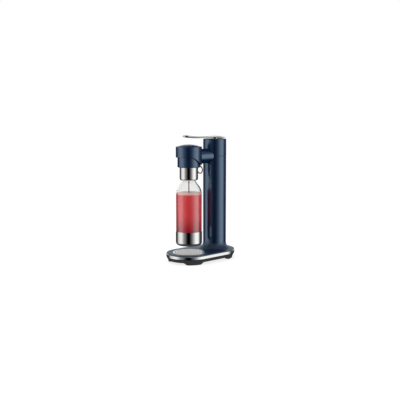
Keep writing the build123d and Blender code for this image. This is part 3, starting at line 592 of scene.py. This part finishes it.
def makePullRing():
    # a circle of wire carried round the ring's own circle, which hangs in the plane x-z; inside it is as
    # big as its solid
    p = ringLook
    low, high = span("pull_ring")
    centre = (low + high) / 2
    inner = (high[0] - low[0]) / 2 - (high[1] - low[1])
    wire = p["wire"] * mm
    loop, section = np.meshgrid(circleAngles(p["around"]), circleAngles(p["across"]), indexing="ij")
    radius = inner + wire + wire * np.cos(section)
    points = np.stack([radius * np.cos(loop), wire * np.sin(section), radius * np.sin(loop)], axis=-1)
    surface = (points + centre, gridFaces(p["around"], p["across"], True, True))
    ring = makePiece("pullLoop", [surface], darkWire, "pull_ring", smoothAngle=60)
    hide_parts("pull_ring")
    print("pull ring", len(ring.data.polygons), "faces")


# painted shadow: a thin dark ring along the head's swooping lower edge, standing in for the shadow line the
# head casts on the cap

headShadowLook = {"frontLow": 354.0, "start": -28.0, "end": 32.0, "outer": 0.5, "inner": 2.6, "hang": 0.9,
           "tuck": 0.3, "bevel": 0.35, "segments": 192}


def makeHeadShadowRing():
    # ring under the housing's wall: its height follows the edge, flat in front, easing down towards the arm
    p = headShadowLook
    outerR = radiusOf("head_housing") / mm
    rearLow = span("head_housing")[0][2] / mm
    angles = circleAngles(p["segments"])
    t = np.clip((outerR * np.sin(angles) - p["start"]) / (p["end"] - p["start"]), 0, 1)
    edge = p["frontLow"] + (rearLow - p["frontLow"]) * ease(t)
    face = outerR - p["outer"]
    bore = outerR - p["inner"]
    section = np.array([(face, p["tuck"]), (face, p["bevel"] - p["hang"]), (face - p["bevel"], -p["hang"]),
                        (bore, -p["hang"]), (bore, p["tuck"])])
    radius = section[None, :, 0]
    points = np.stack([radius * np.cos(angles)[:, None], bottleY / mm + radius * np.sin(angles)[:, None],
                       edge[:, None] + section[None, :, 1]], axis=-1) * mm
    surface = (points, gridFaces(p["segments"], len(section), True, True))
    # painted shadow: this dark ring stands in for the shade under the head's edge
    lip = makePiece("headShadowRing", [surface], rubber, "stand", smoothAngle=50)
    print("head lip", len(lip.data.polygons), "faces")


# the arm between head and column, as thick as the photograph shows it

armLook = {"radius": 25.4, "wall": 2.5, "sink": 1.5, "along": 24, "around": 128}


def makeArm():
    # round tube along y with a wall; each line of it runs from inside the head's wall to inside the
    # column's, back along the bore, and so closes on itself
    p = armLook
    armZ = middle("arm_shell")[2]
    outward = np.linspace(0, 1, p["along"])
    andBack = np.concatenate([outward, outward[::-1]])
    turn, share = np.meshgrid(circleAngles(p["around"]), andBack, indexing="ij")
    r = np.full_like(turn, p["radius"] * mm)
    r[:, p["along"]:] -= p["wall"] * mm
    x = r * np.cos(turn)
    front = bottleY + np.sqrt((radiusOf("head_housing") - p["sink"] * mm) ** 2 - x ** 2)
    rear = columnY - np.sqrt((radiusOf("column_head") - p["sink"] * mm) ** 2 - x ** 2)
    points = np.stack([x, front + (rear - front) * share, armZ + r * np.sin(turn)], axis=-1)
    surface = (points, gridFaces(p["around"], 2 * p["along"], True, True))
    arm = makePiece("armTube", [surface], navy, "stand", smoothAngle=50)
    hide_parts("arm_shell")
    print("arm", len(arm.data.polygons), "faces")


# painted shadow: a dark ring in the groove between the column's shell and its head, standing in for the
# seam's shadow gap, the fine line at arm height

seamLook = {"half": 0.5, "depth": 0.6, "sink": 0.1, "segments": 160}


def makeColumnSeam():
    # a small oblong section spun about the column's axis at the height where the two shells meet
    p = seamLook
    face = radiusOf("column_head") / mm - p["sink"]
    bore = face - p["depth"]
    seamZ = span("column_head")[0][2] / mm
    section = np.array([(bore, -p["half"]), (face, -p["half"]), (face, p["half"]), (bore, p["half"])])
    surface = lathe((section + (0.0, seamZ)) * mm, columnY, p["segments"], closed=True)
    # painted shadow: this dark ring stands in for the shade inside the seam
    seam = makePiece("columnSeamShadow", [surface], rubber, "stand", smoothAngle=30)
    print("column seam", len(seam.data.polygons), "faces")


# return spring under the lever: a coil with its foot on the bracket

springLook = {"wire": 0.8, "turns": 4, "perTurn": 48, "across": 12}


def makeReturnSpring():
    # circle of wire carried up a helix about the column's axis, standing across the helix's direction
    p = springLook
    low, high = span("return_spring")
    centre = middle("return_spring")
    wire = p["wire"] * mm
    meanR = radiusOf("return_spring") - wire
    count = p["turns"] * p["perTurn"] + 1
    climb = np.linspace(0, p["turns"] * fullTurn, count)
    turn, section = np.meshgrid(climb, circleAngles(p["across"]), indexing="ij")
    rise = (high[2] - low[2] - 2 * wire) / (p["turns"] * fullTurn)
    slope = math.atan2(rise, meanR)
    radius = meanR + wire * np.cos(section)
    along = -math.sin(slope) * wire * np.sin(section)
    points = np.stack([centre[0] + radius * np.cos(turn) - along * np.sin(turn),
                       centre[1] + radius * np.sin(turn) + along * np.cos(turn),
                       low[2] + wire + rise * turn + math.cos(slope) * wire * np.sin(section)], axis=-1)
    firstEnd = np.arange(p["across"])
    ends = np.stack([firstEnd, firstEnd + (count - 1) * p["across"]])
    surfaces = [(points, gridFaces(count, p["across"], False, True)), (points, ends)]
    spring = makePiece("pressSpring", surfaces, zinc, None, smoothAngle=60)
    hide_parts("return_spring")
    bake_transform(spring)
    print("return spring", len(spring.data.polygons), "faces")


makeLever()
makeGrid()
makeBottle()
makeDrink()
makePullRing()
makeHeadShadowRing()
makeArm()
makeColumnSeam()
makeReturnSpring()


# camera, floor and light

viewpoint = {"place": (1.8474, -1.8394, 0.5284), "target": (-0.0007, -0.0034, 0.2052), "lens": 69.45,
             "sensor": 36.0, "near": 0.01}


def aimed(place, target):
    # rotation that points a camera or lamp at a target
    return (Vector(target) - Vector(place)).to_track_quat("-Z", "Y").to_euler()


def makeCamera():
    # looks from the front right, a little above; found by fitting the photograph's outline
    p = viewpoint
    data = bpy.data.cameras.new("camera")
    data.lens = p["lens"]
    data.sensor_width = p["sensor"]
    data.clip_start = p["near"]
    camera = bpy.data.objects.new("camera", data)
    camera.location = p["place"]
    camera.rotation_euler = aimed(p["place"], p["target"])
    bpy.context.scene.collection.objects.link(camera)
    bpy.context.scene.camera = camera


# studio seen in the gloss, as (bearing, level): degrees from the camera's side, positive to the right of
# the picture. A soft box stands on each side and fades to black card behind the camera and to dark flags
# behind the object.
studio = [(-180, 0.02), (-140, 0.02), (-122, 0.08), (-102, 0.85), (-84, 1.15), (-65, 1.15), (-45, 0.38),
          (-20, 0.06), (-11, 0.0), (8, 0.0), (16, 0.07), (26, 0.16), (40, 0.46), (56, 1.1), (70, 1.35),
          (91, 1.3), (103, 0.4), (116, 0.06), (180, 0.02)]
# levels of the even light and of what else the gloss sees, and the slopes over which each of these begins
level = {"plain": 0.8, "backdrop": 1.15, "ceiling": 0.22, "ground": 0.03}
bands = {"rise": (-0.01, 0.04), "behind": (-0.4, -0.8), "ceiling": (0.22, 0.5), "ground": (-0.3, -0.6)}


def ringStops(ramp, pairs):
    # sets a colour ramp's stops from (position, grey) pairs, in rising order
    elements = ramp.color_ramp.elements
    elements[0].position = pairs[0][0]
    elements[1].position = pairs[-1][0]
    for position, grey in pairs[1:-1]:
        elements.new(position)
    for element, (position, grey) in zip(elements, pairs):
        element.color = (grey, grey, grey, 1)


def eyeRays(tree, path):
    # 1 for what the camera sees, directly or through the clear bottle
    return addMath(tree, "MAXIMUM", path.outputs["Is Camera Ray"], path.outputs["Is Transmission Ray"])


def mixShaders(tree, share, first, second):
    return addNode(tree, "ShaderNodeMixShader", None, None, {0: share, 1: first, 2: second}).outputs[0]


def makeWorld():
    # white for the camera and through glass, the studio above for gloss, an even level for the rest
    world = bpy.data.worlds.new("studio")
    bpy.context.scene.world = world
    # found only by the surface's own rays, so gloss never mixes in the plain level
    world.cycles.sampling_method = "NONE"
    world.use_nodes = True
    tree = world.node_tree
    tree.nodes.clear()
    bearing = math.atan2(viewpoint["place"][1] - viewpoint["target"][1], viewpoint["place"][0])
    where = addNode(tree, "ShaderNodeTexCoord").outputs["Generated"]
    turned = addNode(tree, "ShaderNodeVectorRotate", {"rotation_type": "Z_AXIS"}, {"Angle": -bearing},
                     {"Vector": where})
    axes = addNode(tree, "ShaderNodeSeparateXYZ", None, None, {"Vector": turned.outputs["Vector"]})
    x, y, z = (axes.outputs[name] for name in "XYZ")
    part = addRange(tree, addMath(tree, "ARCTAN2", y, x), -math.pi, math.pi)
    ring = addNode(tree, "ShaderNodeValToRGB", None, None, {"Fac": part})
    peak = max(value for degrees, value in studio)
    ringStops(ring, [((degrees + 180) / 360, value / peak) for degrees, value in studio])
    # pale backdrop just above the horizon behind the object, which flat tops show
    back = addMath(tree, "MULTIPLY", addSmooth(tree, z, *bands["rise"]), addSmooth(tree, x, *bands["behind"]))
    ceiling = addSmooth(tree, z, *bands["ceiling"])
    ground = addSmooth(tree, z, *bands["ground"])
    colour = ring.outputs["Color"]
    for name, share in (("backdrop", back), ("ceiling", ceiling), ("ground", ground)):
        grey = level[name] / peak
        colour = addTint(tree, colour, (grey, grey, grey, 1), share)
    gloss = addNode(tree, "ShaderNodeBackground", None, {"Strength": peak}, {"Color": colour})
    white = addNode(tree, "ShaderNodeBackground", None, {"Color": (1, 1, 1, 1), "Strength": 1.0})
    plain = addNode(tree, "ShaderNodeBackground", None, {"Color": (1, 1, 1, 1), "Strength": level["plain"]})
    path = addNode(tree, "ShaderNodeLightPath")
    unseen = mixShaders(tree, path.outputs["Is Glossy Ray"], plain.outputs[0], gloss.outputs[0])
    both = mixShaders(tree, eyeRays(tree, path), unseen, white.outputs[0])
    addNode(tree, "ShaderNodeOutputWorld", None, None, {"Surface": both})


floorLook = {"reach": 4.0, "drop": 0.0002, "glow": 0.8, "shade": 0.27, "matt": 0.85}


def makeFloor():
    # pale matt floor: the backdrop's white for the eye, less the object's soft shadow
    p = floorLook
    mesh = bpy.data.meshes.new("floor")
    reach = p["reach"]
    corners = [(-reach, -reach, -p["drop"]), (reach, -reach, -p["drop"]), (reach, reach, -p["drop"]),
               (-reach, reach, -p["drop"])]
    mesh.from_pydata(corners, [], [(0, 1, 2, 3)])
    floor = bpy.data.objects.new("floor", mesh)
    bpy.context.scene.collection.objects.link(floor)
    material = bpy.data.materials.new("paleFloor")
    material.use_nodes = True
    tree = material.node_tree
    tree.nodes.clear()
    path = addNode(tree, "ShaderNodeLightPath")
    matt = addNode(tree, "ShaderNodeBsdfDiffuse", None, {"Color": (p["matt"], p["matt"], p["matt"], 1)})
    shaded = addNode(tree, "ShaderNodeBsdfDiffuse", None, {"Color": (p["shade"], p["shade"], p["shade"], 1)})
    white = addNode(tree, "ShaderNodeEmission", None, {"Color": (1, 1, 1, 1), "Strength": p["glow"]})
    lit = addNode(tree, "ShaderNodeAddShader", None, None, {0: shaded.outputs[0], 1: white.outputs[0]})
    both = mixShaders(tree, eyeRays(tree, path), matt.outputs[0], lit.outputs[0])
    addNode(tree, "ShaderNodeOutputMaterial", None, None, {"Surface": both})
    mesh.materials.append(material)
    floor.visible_glossy = False


lamps = [{"name": "key", "place": (-0.6, -1.5, 2.0), "target": (0, 0, 0.15), "size": 1.2, "power": 14.0},
         {"name": "fill", "place": (1.9, 0.4, 1.4), "target": (0, 0, 0.2), "size": 1.5, "power": 5.0}]


def makeLamp(p):
    # a soft square lamp aimed at a point, seen in no gloss and through no glass
    data = bpy.data.lights.new(p["name"], "AREA")
    data.size = p["size"]
    data.energy = p["power"]
    lamp = bpy.data.objects.new(p["name"], data)
    lamp.location = p["place"]
    lamp.rotation_euler = aimed(p["place"], p["target"])
    lamp.visible_glossy = False
    lamp.visible_transmission = False
    bpy.context.scene.collection.objects.link(lamp)


makeCamera()
makeWorld()
makeFloor()
for lampLook in lamps:
    makeLamp(lampLook)
bpy.context.scene.view_settings.view_transform = "Standard"
print("camera, floor and light placed")
